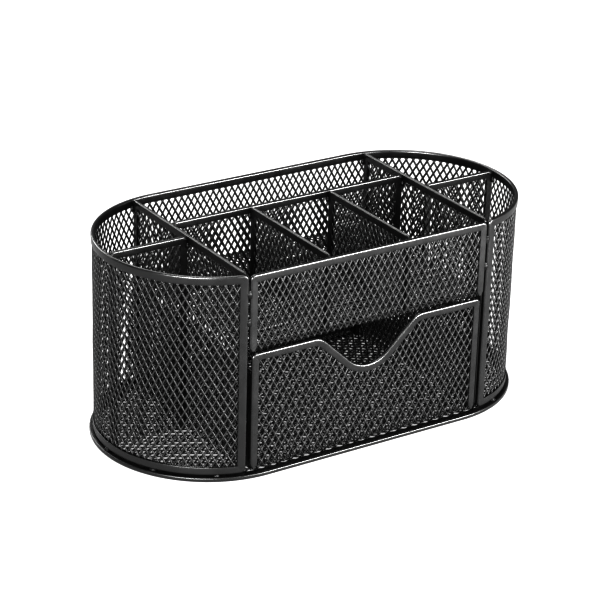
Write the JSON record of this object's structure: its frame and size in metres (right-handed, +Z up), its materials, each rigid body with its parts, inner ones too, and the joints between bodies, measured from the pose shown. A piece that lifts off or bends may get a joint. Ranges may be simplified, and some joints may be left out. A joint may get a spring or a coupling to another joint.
{
  "type": "desk organizer",
  "caption": "Oval desk organizer of black steel mesh: open compartments with folded rims, and a front drawer with a curved finger dip in its top edge.",
  "frame": {"origin": "on the desk, under the centre of the oval base", "axes": "+X along the length to the right end, +Y from the drawer front to the back wall, +Z up"},
  "size_m": [0.22, 0.11, 0.1],
  "materials": {
    "black_paint": "semi-gloss"
  },
  "bodies": {
    "organizer": {"base_binding": "black_paint", "base_mesh": "black_paint", "base_tack_welds": "black_paint", "divider_tack_welds": "black_paint", "front_panel_binding": "black_paint", "front_shelf_mesh": "black_paint", "front_tack_welds": "black_paint", "left_cross_divider_binding": "black_paint", "left_cross_divider_mesh": "black_paint", "left_end_divider_binding": "black_paint", "left_end_divider_mesh": "black_paint", "left_partition_binding": "black_paint", "left_partition_mesh": "black_paint", "long_divider_binding": "black_paint", "long_divider_mesh": "black_paint", "right_cross_divider_binding": "black_paint", "right_cross_divider_mesh": "black_paint", "right_end_divider_binding": "black_paint", "right_end_divider_mesh": "black_paint", "right_partition_binding": "black_paint", "right_partition_mesh": "black_paint", "wall_binding": "black_paint", "wall_mesh": "black_paint"},
    "drawer": {"drawer_back_binding": "black_paint", "drawer_front_binding": "black_paint", "drawer_left_side_binding": "black_paint", "drawer_left_side_mesh": "black_paint", "drawer_right_side_binding": "black_paint", "drawer_right_side_mesh": "black_paint", "drawer_tack_welds": "black_paint", "drawer_tray_mesh": "black_paint"}
  },
  "joints": [
    {"name": "drawer_slide", "type": "slide", "parent": "organizer", "child": "drawer", "axis": [0, -1, 0], "range_m": [0, 0.085]}
  ]
}
